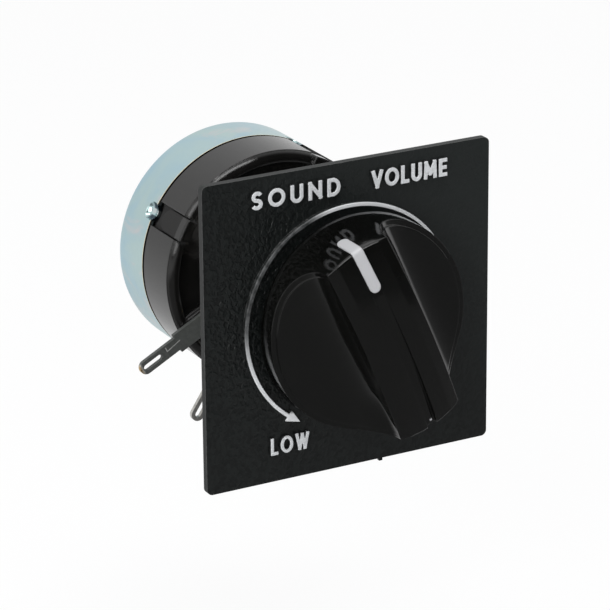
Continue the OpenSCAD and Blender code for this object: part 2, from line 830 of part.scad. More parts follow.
// two fingers spring forward from the hub to rub on the collector ring
module collector_spring() {
    seat = hub_flange_front;
    rub = collector_back - slide_gap;
    foot_r = hub_flange_r - wiper_t;
    pad_in = finger_r - finger_pad;
    pad_out = finger_r + finger_pad + wiper_t;
    color("#c98f4d") along_shaft() at_pointer() {
        tube(hub_flange_r, hub_body_r + seat_fit, seat, seat + wiper_t);
        for (side = [0, 180]) rotate([0, 0, side]) rotate([90, 0, 0])
            translate([0, 0, -finger_w / 2]) linear_extrude(finger_w) polygon([
                [foot_r, seat], [foot_r + wiper_t, seat], [pad_out, rub - wiper_t],
                [pad_out, rub], [pad_in, rub], [pad_in, rub - wiper_t],
                [finger_r + wiper_t, rub - wiper_t], [foot_r, seat + wiper_t]]);
    }
}

// side = 1 reaches forward to the series element, -1 back to the shunt element
module wiper(side) {
    base = side > 0 ? rotor_front : rotor_back - wiper_t;
    face = side > 0 ? rotor_front : rotor_back;
    shoe_mid = side > 0 ? (series_front + series_back) / 2 : (shunt_front + shunt_back) / 2;
    arm_r = shoe_r - shoe_t;
    lip_top = shoe_mid + side * shoe_w / 2;
    tube(hub_flange_r, hub_neck_r + seat_fit, base, base + wiper_t);
    rotate([0, 0, 90]) translate([hub_body_r, -wiper_w / 2, base])
        cube([arm_r - hub_body_r, wiper_w, wiper_t]);
    rotate([0, 0, 90]) translate([arm_r - wiper_t, -wiper_w / 2, min(face, lip_top)])
        cube([wiper_t, wiper_w, abs(lip_top - face)]);
}

module series_wiper() {
    color("#c98f4d") along_shaft() at_pointer() wiper(1);
}

module shunt_wiper() {
    color("#c98f4d") along_shaft() at_pointer() wiper(-1);
}

module contact_shoe(mid) {
    half = asin(shoe_w / 2 / shoe_r);
    intersection() {
        sector(shoe_r, shoe_r - 2 * shoe_t, mid - shoe_w / 2, mid + shoe_w / 2,
            quarter_turn - half, 2 * half);
        translate([-shoe_w, shoe_r - shoe_t, mid - shoe_w]) cube([2 * shoe_w, 2 * shoe_t, 2 * shoe_w]);
    }
}

module series_contact() {
    color("#55504a") along_shaft() at_pointer() contact_shoe((series_front + series_back) / 2);
}

module shunt_contact() {
    color("#55504a") along_shaft() at_pointer() contact_shoe((shunt_front + shunt_back) / 2);
}

module rotor_disc() {
    tongue_r = lug_r - wiper_t - slide_gap;
    side = 2 * tongue_r * [sin(lug_half), cos(lug_half)];
    color("#5b3a22") along_shaft() at_pointer() translate([0, 0, rotor_back])
        linear_extrude(rotor_t) difference() {
            union() {
                circle(r = rotor_r);
                intersection() {
                    circle(r = tongue_r);
                    polygon([[0, 0], side, [-side[0], side[1]]]);
                }
            }
            circle(r = hub_neck_r + seat_fit);
        }
}

module clinch_washer() {
    color("#cdae58") along_shaft()
        tube(hub_flange_r - hub_step, hub_neck_r + seat_fit, clinch_back, clinch_front);
}

// ---------- knob ----------

// the turned outline of the knob, with its domed top, before the flutes are cut
module knob_blank() {
    rotate_extrude() {
        polygon([[0, knob_foot], [knob_r - knob_round, knob_foot],
            [knob_r, knob_foot + knob_round], [knob_top_r, knob_top - knob_round],
            [dome_edge_r, knob_top], [0, knob_top]]);
        translate([knob_r - knob_round, knob_foot + knob_round]) circle(r = knob_round);
        translate([dome_edge_r, knob_top - knob_round]) circle(r = knob_round);
        intersection() {
            translate([0, dome_z]) circle(r = dome_r);
            translate([0, knob_foot + knob_round]) square([dome_edge_r, knob_h + knob_crown]);
        }
    }
}

// everything above a half-moon floor on the right of the bar, to a depth below that floor
module scoop(drop) {
    reach = 2 * knob_r;
    rotate([90, 0, 0]) linear_extrude(2 * reach, center = true) translate([0, -drop])
        difference() {
            translate([bar_half, floor_top]) square([reach, knob_h + knob_crown]);
            difference() {
                translate([bar_half - over, floor_top - over])
                    square([flute_r + over, flute_r + over]);
                translate([flute_x, floor_top + flute_r]) circle(r = flute_r);
            }
        }
}

// a flute has a concave floor, with a lip a little lower round its outside
module flute() {
    scoop(0);
    difference() {
        scoop(lip_drop);
        cylinder(r = knob_top_r - lip_w, h = knob_top + knob_crown);
    }
}

// wedge that bevels the bar's right edge, turned about the dome's centre to follow its arch
module edge_bevel() {
    flat_half = bar_flat_w / 2;
    edge_r = sqrt(pow(dome_r, 2) - pow(flat_half, 2));
    slope = bar_bevel / (bar_half - flat_half);
    spread = 2 * asin(knob_d / dome_r / 2) + 2 * over;
    translate([0, 0, dome_z]) rotate([0, 90, 0]) rotate([0, 0, 180 - spread / 2])
        rotate_extrude(angle = spread) polygon([
            [edge_r + slope * over, flat_half - over], [edge_r + 2 * over, flat_half - over],
            [edge_r + 2 * over, knob_r], [edge_r - slope * (knob_r - flat_half), knob_r]]);
}

// channel that carries the rib's line on along the bar and deepens towards its tail
module tail_groove() {
    rotate([90, 0, 90]) linear_extrude(rib_w, center = true) difference() {
        translate([-knob_r - over, floor_top]) square([knob_r + over + rib_from + rib_w / 2, knob_h]);
        translate([groove_lean, dome_z - groove_deep]) circle(r = dome_r);
    }
}

// white-filled rib at the pointer's end of the bar, bent down over the knob's side
module pointer_rib() {
    half = rib_w / 2;
    out = knob_top_r + rib_h;
    foot_z = knob_top - rib_down + half;
    start_z = dome_z + sqrt(pow(dome_r, 2) - pow(rib_from, 2)) + rib_h;
    bend = [out - rib_bend, knob_top + rib_h - rib_bend];
    run = bend - [rib_from, start_z];
    lean = atan2(run[1], run[0]) + asin(rib_bend / norm(run));
    intersection() {
        rotate([90, 0, 90]) linear_extrude(rib_w, center = true) {
            polygon([[rib_from, start_z], bend + rib_bend * [-sin(lean), cos(lean)],
                bend, [bend[0], knob_top - knob_wall], [rib_from, knob_top - knob_wall]]);
            translate(bend) circle(r = rib_bend);
            translate([knob_top_r - knob_wall, foot_z]) square([knob_wall + rib_h, bend[1] - foot_z]);
        }
        // round inner end
        translate([0, 0, foot_z - half]) linear_extrude(2 * knob_h) {
            translate([0, rib_from + half]) circle(r = half);
            translate([-half, rib_from + half]) square([rib_w, knob_r]);
        }
    }
    translate([0, knob_top_r - knob_wall, foot_z]) rotate([-90, 0, 0])
        cylinder(r = half, h = knob_wall + rib_h);
}

module knob_hollows() {
    inner_r = knob_top_r - knob_wall;
    pocket_half = bar_half - knob_wall;
    pocket_top = knob_top - bar_bevel - knob_wall;
    web = knob_wall * 2 / 3;
    // under the half-moon floors
    difference() {
        translate([0, 0, knob_foot - over]) cylinder(r = inner_r, h = floor_h - knob_wall + over);
        translate([0, 0, hub_foot]) cylinder(d = hub_d, h = knob_h);
    }
    // two pockets inside the bar, with a web on the centre line
    difference() {
        intersection() {
            translate([-pocket_half, -inner_r, knob_foot])
                cube([2 * pocket_half, 2 * inner_r, pocket_top - knob_foot]);
            translate([0, 0, knob_foot]) cylinder(r = inner_r - slide_gap, h = knob_h);
        }
        translate([0, 0, hub_foot]) cylinder(d = hub_d, h = knob_h);
        translate([-web / 2, -knob_r, floor_top - knob_wall]) cube([web, 2 * knob_r, knob_h]);
    }
}

module knob() {
    bore = shaft_r + seat_fit;
    bore_l = shaft_end - hub_foot + free_gap;
    leaf_x = flat_x + leaf_t + 2 * seat_fit;
    color("#131415") along_shaft() at_pointer() difference() {
        union() {
            difference() {
                knob_blank();
                for (side = [0, 1]) mirror([side, 0, 0]) {
                    flute();
                    edge_bevel();
                }
                tail_groove();
            }
            pointer_rib();
        }
        knob_hollows();
        intersection() {
            translate([0, 0, hub_foot - over]) cylinder(r = bore, h = bore_l + over);
            translate([-shaft_d, -shaft_d, hub_foot - over])
                cube([shaft_d + leaf_x, 2 * shaft_d, bore_l + over]);
        }
    }
}

// flat leaf between the shaft's flat and the knob's bore, with a lip under the hub
module knob_spring() {
    leaf_in = flat_x + seat_fit;
    color("#9da1a4") along_shaft() at_pointer() {
        translate([leaf_in, -leaf_w / 2, hub_foot - leaf_t / 2])
            cube([leaf_t, leaf_w, shaft_end - hub_foot - free_gap]);
        translate([leaf_in, -leaf_w / 2, hub_foot - leaf_t])
            cube([leaf_t + leaf_lip, leaf_w, leaf_t - seat_fit]);
    }
}

faceplate();
front_nut();
lock_washer();
jam_nut();
bushing();
body_housing();
rear_cover();
insulating_disc();
series_former();
series_winding();
shunt_former();
shunt_winding();
element_spacer();
rear_spacer();
input_terminal();
output_terminal();
common_terminal();
terminal_rivets();
collector_ring();
series_lead();
shunt_lead();
knob();
knob_spring();
shaft();
retaining_ring();
thrust_washer();
rotor_hub();
collector_spring();
series_wiper();
rotor_disc();
shunt_wiper();
clinch_washer();
series_contact();
shunt_contact();
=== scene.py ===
"""Looks of a panel-mount L-pad attenuator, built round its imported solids.

-Y is the front, where the knob is, and +Z is up. Lengths are in metres, and colours linear.
"""
import math

import bpy
import numpy as np
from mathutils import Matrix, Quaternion, Vector


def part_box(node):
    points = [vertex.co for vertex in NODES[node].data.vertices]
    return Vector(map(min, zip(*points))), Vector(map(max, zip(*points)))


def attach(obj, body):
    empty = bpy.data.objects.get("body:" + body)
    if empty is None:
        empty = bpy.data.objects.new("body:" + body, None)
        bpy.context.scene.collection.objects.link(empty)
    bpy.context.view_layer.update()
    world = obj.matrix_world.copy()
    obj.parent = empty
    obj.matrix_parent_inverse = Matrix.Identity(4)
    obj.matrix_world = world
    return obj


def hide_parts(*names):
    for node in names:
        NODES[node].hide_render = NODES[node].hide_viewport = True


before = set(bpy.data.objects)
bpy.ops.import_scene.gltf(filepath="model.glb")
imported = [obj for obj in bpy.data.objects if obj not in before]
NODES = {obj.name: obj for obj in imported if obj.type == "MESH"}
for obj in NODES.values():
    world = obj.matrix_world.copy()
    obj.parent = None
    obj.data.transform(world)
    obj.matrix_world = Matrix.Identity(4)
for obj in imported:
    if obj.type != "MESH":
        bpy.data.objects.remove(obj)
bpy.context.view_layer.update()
MM = 0.001

# ---------- places taken from the frame ----------

PLATE_LOW, PLATE_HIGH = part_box("faceplate")
KNOB_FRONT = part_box("knob")[0][1]
HOUSING_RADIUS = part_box("body_housing")[1][0]
COVER_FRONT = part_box("rear_cover")[0][1]

# ---------- features of the solids, as the part's source has them ----------

ARC_HEIGHT = 0.7 * MM
ARC_RADIUS = 21.8 * MM
PLATE_FRONT = PLATE_LOW[1] + ARC_HEIGHT
PLATE_CENTRE_X = (PLATE_LOW[0] + PLATE_HIGH[0]) / 2

KNOB_RADIUS = 20.5 * MM
KNOB_CROWN = 1.9 * MM
DOME_EDGE = 19.55 * MM
DOME_RADIUS = (DOME_EDGE ** 2 + KNOB_CROWN ** 2) / (2 * KNOB_CROWN)
DOME_CENTRE = KNOB_FRONT + DOME_RADIUS
BAR_HALF = 6.7 * MM

RIM_FRONT = 1.6 * MM
RIM_WIDTH = 2.1 * MM

# directions about the shaft, anticlockwise from +X as seen from the front
POINTER_DIRECTION = math.radians(113.6)
NOTCH_DIRECTION = math.radians(151.5)
LUG_DIRECTION = math.radians(-152.0)
FORWARD = (0, -1, 0)

# ---------- colours ----------

WHITE_PAINT = (0.66, 0.67, 0.68, 1)
LETTER_THIN, LETTER_FULL = (0.50, 0.51, 0.52, 1), (0.60, 0.61, 0.62, 1)
LETTER_SIDE = (0.012, 0.012, 0.0126, 1)
GRAIN_PIT, GRAIN_TOP = (0.0050, 0.0060, 0.0058, 1), (0.0080, 0.0096, 0.0092, 1)
# the plate's black where painted light makes it paler
PAINTED_LIGHT_BLACK = (0.0125, 0.0150, 0.0145, 1)
KNOB_JET, POINTER_PAINT = (0.0022, 0.0023, 0.0020, 1), (0.44, 0.44, 0.45, 1)
RESIN_DARK, RESIN_LIGHT = (0.003, 0.0029, 0.0027, 1), (0.006, 0.0056, 0.0052, 1)
ZINC_BLUE, ZINC_GREEN = (0.37, 0.53, 0.61, 1), (0.44, 0.57, 0.57, 1)
ZINC_PALE, ZINC_SHADE = (0.54, 0.56, 0.57, 1), (0.27, 0.39, 0.41, 1)
# the lip's straw tint with a painted highlight, and painted shade at the joint and round the crimps
STRAW_TINT_AND_HIGHLIGHT = (0.86, 0.80, 0.62, 1)
JOINT_SHADE, CRIMP_SHADE = (0.030, 0.026, 0.018, 1), (0.05, 0.07, 0.09, 1)
OXIDE_DARK, OXIDE_LIGHT = (0.050, 0.053, 0.050, 1), (0.062, 0.066, 0.062, 1)
TICK_GLINT, BARE_BRASS = (0.80, 0.80, 0.78, 1), (0.46, 0.33, 0.17, 1)
LAMINATE_DARK, LAMINATE_LIGHT = (0.16, 0.08, 0.035, 1), (0.30, 0.17, 0.08, 1)
WIRE_GAP, WIRE_CREST = (0.12, 0.10, 0.08, 1), (0.52, 0.46, 0.38, 1)
CARBON_DARK, CARBON_LIGHT = (0.012, 0.012, 0.012, 1), (0.045, 0.045, 0.045, 1)
PAPER_DIM, PAPER_BRIGHT = (0.92, 0.92, 0.92, 1), (0.94, 0.94, 0.94, 1)
WHITE, SKY = (1, 1, 1, 1), (0.95, 0.97, 1.0, 1)


# ---------- mesh helpers ----------

def new_object(name, verts, faces):
    """An object at the origin whose mesh has the given points and quads."""
    mesh = bpy.data.meshes.new(name)
    mesh.from_pydata(verts.tolist(), [], faces.tolist())
    made = bpy.data.objects.new(name, mesh)
    bpy.context.scene.collection.objects.link(made)
    return made


def grid_faces(rows, cols, closed=False):
    """Quads of a rows by cols grid of points, wrapped round both ways where it is closed."""
    i = np.arange(rows if closed else rows - 1)
    j = np.arange(cols if closed else cols - 1)
    i, j = np.meshgrid(i, j, indexing="ij")
    i2, j2 = (i + 1) % rows, (j + 1) % cols
    corners = [i * cols + j, i * cols + j2, i2 * cols + j2, i2 * cols + j]
    return np.stack(corners, -1).reshape(-1, 4)


# ---------- material helpers ----------

class NodeTree:
    """Short calls that add nodes to one node tree."""

    def __init__(self, tree):
        self.nodes = tree.nodes
        self.links = tree.links

    def node(self, kind, **options):
        made = self.nodes.new(kind)
        for option, value in options.items():
            setattr(made, option, value)
        return made

    def feed(self, socket, value):
        """Link a socket, or set it where the value is a plain number or colour."""
        if isinstance(value, bpy.types.NodeSocket):
            self.links.new(value, socket)
        else:
            socket.default_value = value

    def math(self, operation, a, b=0.0, c=0.0, clamp=False):
        made = self.node("ShaderNodeMath", operation=operation, use_clamp=clamp)
        for socket, value in zip(made.inputs, (a, b, c)):
            self.feed(socket, value)
        return made.outputs[0]

    def product(self, first, *others):
        for other in others:
            first = self.math("MULTIPLY", first, other)
        return first

    def ramp(self, value, low, high, out_low=0.0, out_high=1.0):
        """Smooth step from out_low, where the value is at low, to out_high, where it is at high."""
        made = self.node("ShaderNodeMapRange", interpolation_type="SMOOTHSTEP")
        for socket, number in zip(made.inputs, (value, low, high, out_low, out_high)):
            self.feed(socket, number)
        return made.outputs[0]

    def blend(self, factor, first, second):
        """Mix of two shaders."""
        made = self.node("ShaderNodeMixShader")
        for socket, value in zip(made.inputs, (factor, first, second)):
            self.feed(socket, value)
        return made.outputs[0]

    def seen_ray(self):
        """1 for rays from the camera, mirrors and glass, and 0 for rays that carry light."""
        path = self.node("ShaderNodeLightPath").outputs
        total = path["Is Camera Ray"]
        for name in ("Is Glossy Ray", "Is Transmission Ray"):
            total = self.math("ADD", total, path[name], clamp=True)
        return total

    def mirror_ray(self):
        return self.node("ShaderNodeLightPath").outputs["Is Glossy Ray"]


class Shader(NodeTree):
    """A Principled material whose patterns and normals are worked out in Object coordinates."""

    def __init__(self, name, **sockets):
        self.material = bpy.data.materials.new(name)
        self.material.use_nodes = True
        super().__init__(self.material.node_tree)
        self.surface = self.nodes["Principled BSDF"]
        self.place = self.node("ShaderNodeTexCoord").outputs["Object"]
        self.out(**sockets)

    def out(self, **sockets):
        """Set or link sockets of the surface, and hand back the material."""
        for socket, value in sockets.items():
            self.feed(self.surface.inputs[socket.replace("_", " ")], value)
        return self.material

    def noise(self, scale, detail=3.0, roughness=0.5, stretch=(1, 1, 1), distortion=0.0):
        mapping = self.node("ShaderNodeMapping")
        self.feed(mapping.inputs["Vector"], self.place)
        self.feed(mapping.inputs["Scale"], stretch)
        made = self.node("ShaderNodeTexNoise")
        self.feed(made.inputs["Vector"], mapping.outputs[0])
        self.feed(made.inputs["Scale"], scale)
        self.feed(made.inputs["Detail"], detail)
        self.feed(made.inputs["Roughness"], roughness)
        self.feed(made.inputs["Distortion"], distortion)
        return made.outputs["Fac"]

    def mix(self, factor, a, b):
        """Mix of two colours, for which this node has its seventh and eighth socket."""
        made = self.node("ShaderNodeMix", data_type="RGBA")
        self.feed(made.inputs[0], factor)
        self.feed(made.inputs[6], a)
        self.feed(made.inputs[7], b)
        return made.outputs[2]

    def axes(self):
        split = self.node("ShaderNodeSeparateXYZ")
        self.feed(split.inputs[0], self.place)
        return split.outputs

    def radius(self):
        """Distance from the shaft's axis."""
        x, _, z = self.axes()
        return self.math("SQRT", self.math("ADD", self.product(x, x), self.product(z, z)))

    def turned(self, direction):
        """Distances along and across a direction that is square to the shaft."""
        x, _, z = self.axes()
        c, d = math.cos(direction), math.sin(direction)
        along = self.math("ADD", self.product(x, c), self.product(z, d))
        across = self.math("SUBTRACT", self.product(z, c), self.product(x, d))
        return along, across

    def within(self, value, centre, far, near):
        """1 where a value is nearer to a centre than near, falling to 0 at far."""
        gap = self.math("ABSOLUTE", self.math("SUBTRACT", value, centre))
        return self.ramp(gap, far, near)

    def bump(self, height, distance, strength, under=None):
        made = self.node("ShaderNodeBump")
        self.feed(made.inputs["Distance"], distance)
        self.feed(made.inputs["Strength"], strength)
        self.feed(made.inputs["Height"], height)
        if under is not None:
            self.feed(made.inputs["Normal"], under)
        return made.outputs[0]

    def rounded(self, radius):
        """Normal that runs smoothly over every edge, as the small radius of a moulding does."""
        made = self.node("ShaderNodeBevel", samples=6)
        self.feed(made.inputs["Radius"], radius)
        return made.outputs[0]

    def vector(self, operation, a, b=None, scale=None):
        made = self.node("ShaderNodeVectorMath", operation=operation)
        self.feed(made.inputs[0], a)
        if b is not None:
            self.feed(made.inputs[1], b)
        if scale is not None:
            self.feed(made.inputs["Scale"], scale)
        return made.outputs["Value" if operation == "DOT_PRODUCT" else "Vector"]

    def towards(self, share, direction, otherwise):
        """Normal that leans from one direction to another by a share."""
        rest = self.math("SUBTRACT", 1.0, share)
        return self.vector("NORMALIZE", self.vector(
            "ADD", self.vector("SCALE", direction, scale=share),
            self.vector("SCALE", otherwise, scale=rest)))

    def on_sphere(self, centre_y, radius, distance, otherwise):
        """Exact normal of a sphere round a point of the shaft's axis, and another elsewhere.

        It holds where the distance from the centre is close to the radius and where the other
        normal points nearly the same way, so edges and cuts keep theirs.
        """
        out = self.vector("NORMALIZE", self.vector("SUBTRACT", self.place, (0, centre_y, 0)))
        turn = self.node("ShaderNodeVectorTransform", vector_type="NORMAL",
                         convert_from="OBJECT", convert_to="WORLD")
        self.feed(turn.inputs[0], out)
        exact = self.vector("NORMALIZE", turn.outputs[0])
        alike = self.ramp(self.vector("DOT_PRODUCT", exact, otherwise), 0.975, 0.995)
        close = self.within(distance, radius, 0.10 * MM, 0.07 * MM)
        return self.towards(self.product(alike, close), exact, otherwise)


# ---------- finishes ----------

def grained_black():
    """Black moulded plate with a pebbled grain, and white paint on the arc's crest."""
    s = Shader("plate_black", Specular_IOR_Level=0.42)
    x, y, z = s.axes()
    radius = s.radius()
    # the grain is coarse at the left, and finer towards the right, the bottom and the corners
    coarse = s.product(s.ramp(x, 12 * MM, -18 * MM), s.ramp(z, -24 * MM, -6 * MM, 0.45, 1.0),
                       s.ramp(radius, 32 * MM, 25 * MM, 0.5, 1.0))
    pebble = s.noise(1150, detail=1.5, stretch=(1.1, 1, 0.85), distortion=0.4)
    dimple = s.ramp(pebble, 0.36, 0.62)
    fine = s.noise(4200, detail=2, roughness=0.6)
    grain = s.math("ADD", s.product(dimple, s.math("MULTIPLY_ADD", coarse, 0.8, 0.2)),
                   s.product(fine, 0.12))
    # paint sits on what stands well proud of the plate, and is thin at the arc's upper left
    crest = s.ramp(y, PLATE_FRONT - 0.40 * MM, PLATE_FRONT - 0.52 * MM)
    thin = s.product(s.ramp(x, -4 * MM, -10 * MM), s.ramp(z, -10 * MM, 3 * MM))
    streak = s.ramp(s.noise(900), 0.3, 0.7, 0.04, 0.14)
    cover = s.math("MULTIPLY_ADD", thin, s.math("SUBTRACT", streak, 1.0), 1.0)
    # at the left the paint lies only on the arc's outer half, but on all of the arrowhead
    inner = s.ramp(x, -6 * MM, -14 * MM, -1.0 * MM, 0.0)
    outward = s.math("SUBTRACT", s.math("SUBTRACT", radius, ARC_RADIUS), inner)
    half = s.math("MAXIMUM", s.ramp(outward, 0.02 * MM, 0.12 * MM),
                  s.ramp(z, -16.5 * MM, -17.5 * MM))
    paint = s.product(crest, half, cover)
    # painted light makes the plate paler towards the top right, and its back and edges are duller
    # than its face
    face = s.ramp(y, PLATE_FRONT + 0.2 * MM, PLATE_FRONT + 0.05 * MM)
    black = s.mix(dimple, GRAIN_PIT, GRAIN_TOP)
    black = s.mix(s.ramp(s.math("ADD", x, z), -10 * MM, 50 * MM), black, PAINTED_LIGHT_BLACK)
    rough = s.math("ADD", s.ramp(paint, 0, 1, 0.28, 0.5), s.ramp(face, 0, 1, 0.3, 0.0))
    pebbled = s.product(grain, s.product(face, s.math("SUBTRACT", 1.0, crest)))
    normal = s.bump(pebbled, 0.15 * MM, 0.9, under=s.rounded(0.2 * MM))
    # where the arc's paint is worn its top is flat between two edges that catch the light
    flat_top = s.within(radius, ARC_RADIUS, 0.34 * MM, 0.20 * MM)
    normal = s.towards(s.product(flat_top, crest, thin, 0.85), FORWARD, normal)
    return s.out(Base_Color=s.mix(paint, black, WHITE_PAINT), Roughness=rough, Normal=normal)


def letter_paint():
    """White paint on the tops of raised letters, with bare black plastic sides."""
    s = Shader("letter_paint", Specular_IOR_Level=0.4)
    _, y, _ = s.axes()
    # the paint's lower edge wanders a little
    wander = s.product(s.noise(2600, detail=2), 0.16 * MM)
    top = s.ramp(s.math("ADD", y, wander), PLATE_FRONT - 0.42 * MM, PLATE_FRONT - 0.54 * MM)
    mottle = s.noise(3000)
    white = s.mix(s.ramp(mottle, 0.3, 0.7), LETTER_THIN, LETTER_FULL)
    return s.out(Base_Color=s.mix(top, LETTER_SIDE, white),
                 Roughness=s.ramp(mottle, 0.2, 0.8, 0.42, 0.58),
                 Normal=s.bump(mottle, 0.03 * MM, 0.6))


def gloss_black():
    """Polished black knob moulding with white filling at the outer end of its pointer rib."""
    s = Shader("knob_black", Specular_IOR_Level=0.4)
    _, y, _ = s.axes()
    radius = s.radius()
    along, left = s.turned(POINTER_DIRECTION)
    # the paint lies on what stands proud of the dome or of the drum's side
    deep = s.math("SUBTRACT", y, DOME_CENTRE)
    from_centre = s.math("SQRT", s.math("ADD", s.product(radius, radius), s.product(deep, deep)))
    over_dome = s.ramp(from_centre, DOME_RADIUS + 0.12 * MM, DOME_RADIUS + 0.2 * MM)
    over_side = s.product(s.ramp(radius, KNOB_RADIUS - 0.16 * MM, KNOB_RADIUS - 0.08 * MM),
                          s.ramp(y, KNOB_FRONT + 8.2 * MM, KNOB_FRONT + 8.0 * MM))
    rib_end = s.product(s.ramp(along, 11.6 * MM, 11.75 * MM),
                        s.within(left, 0.0, 1.3 * MM, 1.2 * MM))
    # a small white spot is painted at the very end of the tail groove
    fleck = s.product(s.within(along, -19.4 * MM, 0.32 * MM, 0.18 * MM),
                      s.within(left, -0.4 * MM, 0.30 * MM, 0.18 * MM),
                      s.ramp(y, KNOB_FRONT + 6 * MM, KNOB_FRONT + 5 * MM))
    paint = s.math("MAXIMUM", fleck,
                   s.product(rib_end, s.math("MAXIMUM", over_dome, over_side)))
    haze = s.noise(160, detail=4, roughness=0.6)
    scuff = s.noise(3800, detail=2, stretch=(1, 1, 0.25))
    rough = s.math("ADD", s.ramp(haze, 0.3, 0.8, 0.05, 0.10), s.product(paint, 0.3))
    edge = s.on_sphere(DOME_CENTRE, DOME_RADIUS, from_centre, s.rounded(0.34 * MM))
    # polishing has flattened the outer end of the left flute's curved wall
    flat = s.product(s.ramp(left, BAR_HALF - 0.05 * MM, BAR_HALF + 0.35 * MM),
                     s.ramp(along, -8 * MM, -16 * MM), s.ramp(left, 10.0 * MM, 8.5 * MM), 0.55)
    scuffed = s.bump(scuff, 0.004 * MM, 0.35, under=s.towards(flat, FORWARD, edge))
    return s.out(Base_Color=s.mix(paint, KNOB_JET, POINTER_PAINT), Roughness=rough,
                 Normal=s.bump(haze, 0.35 * MM, 0.12, under=scuffed))


def phenolic():
    """Dark glossy phenolic moulding with faint flow marks."""
    s = Shader("phenolic_black", Specular_IOR_Level=0.42)
    _, y, _ = s.axes()
    radius = s.radius()
    flow = s.noise(220, detail=5, roughness=0.65, stretch=(1, 0.3, 1), distortion=0.8)
    speck = s.noise(5200, detail=2)
    # the rim's edge has a larger radius than the edges of the notches and keys
    bead = s.ramp(y, RIM_FRONT + 1.5 * MM, RIM_FRONT + 1.2 * MM)
    edge = s.towards(bead, s.rounded(0.9 * MM), s.rounded(0.35 * MM))
    # the keys are duller and grittier than the polished side, rim and recess, and lean forward
    recess = HOUSING_RADIUS - RIM_WIDTH
    key = s.product(s.ramp(radius, HOUSING_RADIUS - 0.1 * MM, HOUSING_RADIUS - 0.2 * MM),
                    s.ramp(y, RIM_FRONT + 1.7 * MM, RIM_FRONT + 1.9 * MM),
                    s.ramp(radius, recess - 0.3 * MM, recess - 0.1 * MM))
    grit = s.product(speck, s.math("MULTIPLY_ADD", key, 6.0, 1.0))
    gloss = s.ramp(flow, 0.2, 0.8, 0.12, 0.18)
    rough = s.product(s.math("MULTIPLY_ADD", key, 0.5, gloss),
                      s.math("MULTIPLY_ADD", bead, -0.6, 1.0))
    # a fine groove where the moulding meets the cover's lip, whose rear wall faces forward
    groove = s.product(s.ramp(y, COVER_FRONT - 0.55 * MM, COVER_FRONT - 0.4 * MM),
                       s.ramp(radius, HOUSING_RADIUS - 0.3 * MM, HOUSING_RADIUS - 0.1 * MM))
    lean = s.math("MAXIMUM", s.product(groove, 0.9), s.product(key, 0.5))
    normal = s.bump(flow, 0.10 * MM, 0.25, under=s.bump(grit, 0.008 * MM, 0.4, under=edge))
    return s.out(Base_Color=s.mix(s.ramp(flow, 0.3, 0.75), RESIN_DARK, RESIN_LIGHT),
                 Roughness=rough, Normal=s.towards(lean, FORWARD, normal))


def bright_zinc():
    """Blue-white zinc plate, rough on the rolled front edge, which is straw-tinted and painted
    lighter as a highlight; painted shade darkens its lower part, its joint with the moulding and
    the crimps' sides.
    """
    s = Shader("bright_zinc", Metallic=1.0)
    _, y, z = s.axes()
    cloud = s.noise(70, distortion=0.7)
    tint = s.noise(110, detail=4, roughness=0.6, stretch=(1, 0.6, 1), distortion=1.2)
    fine = s.noise(900, stretch=(1, 4, 1))
    colour = s.mix(s.ramp(cloud, 0.35, 0.65), ZINC_BLUE, ZINC_GREEN)
    colour = s.mix(s.ramp(tint, 0.52, 0.68), colour, ZINC_PALE)
    # painted shade makes the lower part a little greyer
    colour = s.mix(s.ramp(z, 2 * MM, -12 * MM, 0.0, 0.5), colour, ZINC_SHADE)
    # the crimped lip is straw-tinted and painted lighter as a highlight, and painted shade darkens
    # it where it meets the moulding
    outer = s.ramp(s.radius(), HOUSING_RADIUS - 0.35 * MM, HOUSING_RADIUS - 0.1 * MM)
    lip = s.product(outer, s.ramp(y, COVER_FRONT + 0.42 * MM, COVER_FRONT + 0.3 * MM))
    colour = s.mix(lip, colour, STRAW_TINT_AND_HIGHLIGHT)
    joint = s.product(outer, s.ramp(y, COVER_FRONT + 0.24 * MM, COVER_FRONT + 0.18 * MM))
    colour = s.mix(joint, colour, JOINT_SHADE)
    # the crimps, a quarter turn apart, are burnished by the punch, and painted shade darkens their
    # sides
    along, across = s.turned(NOTCH_DIRECTION)
    nearest = s.math("MINIMUM", s.math("ABSOLUTE", along), s.math("ABSOLUTE", across))
    crimp = s.product(s.ramp(nearest, 2.0 * MM, 1.4 * MM),
                      s.ramp(y, COVER_FRONT + 3.2 * MM, COVER_FRONT + 2.4 * MM))
    side = s.product(s.ramp(nearest, 0.5 * MM, 0.8 * MM), s.ramp(nearest, 1.9 * MM, 1.4 * MM),
                     s.ramp(y, COVER_FRONT + 2.4 * MM, COVER_FRONT + 1.8 * MM))
    colour = s.mix(side, colour, CRIMP_SHADE)
    rough = s.math("ADD", s.ramp(fine, 0.3, 0.7, 0.30, 0.36), s.product(lip, 0.3))
    rough = s.product(rough, s.math("MULTIPLY_ADD", crimp, -0.7, 1.0))
    normal = s.bump(cloud, 0.2 * MM, 0.06, under=s.rounded(0.3 * MM))
    return s.out(Base_Color=colour, Roughness=rough, Normal=normal)


def worked_metal(name, dark, light, rough, scale, stretch=(1, 1, 1), depth=0.01 * MM):
    """Bare or plated metal: two tones mixed by marks and patches, with the marks as bump."""
    s = Shader(name, Metallic=1.0)
    mark = s.noise(scale, detail=4, roughness=0.6, stretch=stretch)
    patch = s.noise(140)
    tone = s.math("ADD", s.product(mark, 0.5), s.product(patch, 0.5))
    return s.out(Base_Color=s.mix(s.ramp(tone, 0.38, 0.62), dark, light),
                 Roughness=s.ramp(patch, 0.3, 0.7, rough * 0.8, rough * 1.25),
                 Normal=s.bump(mark, depth, 0.6))


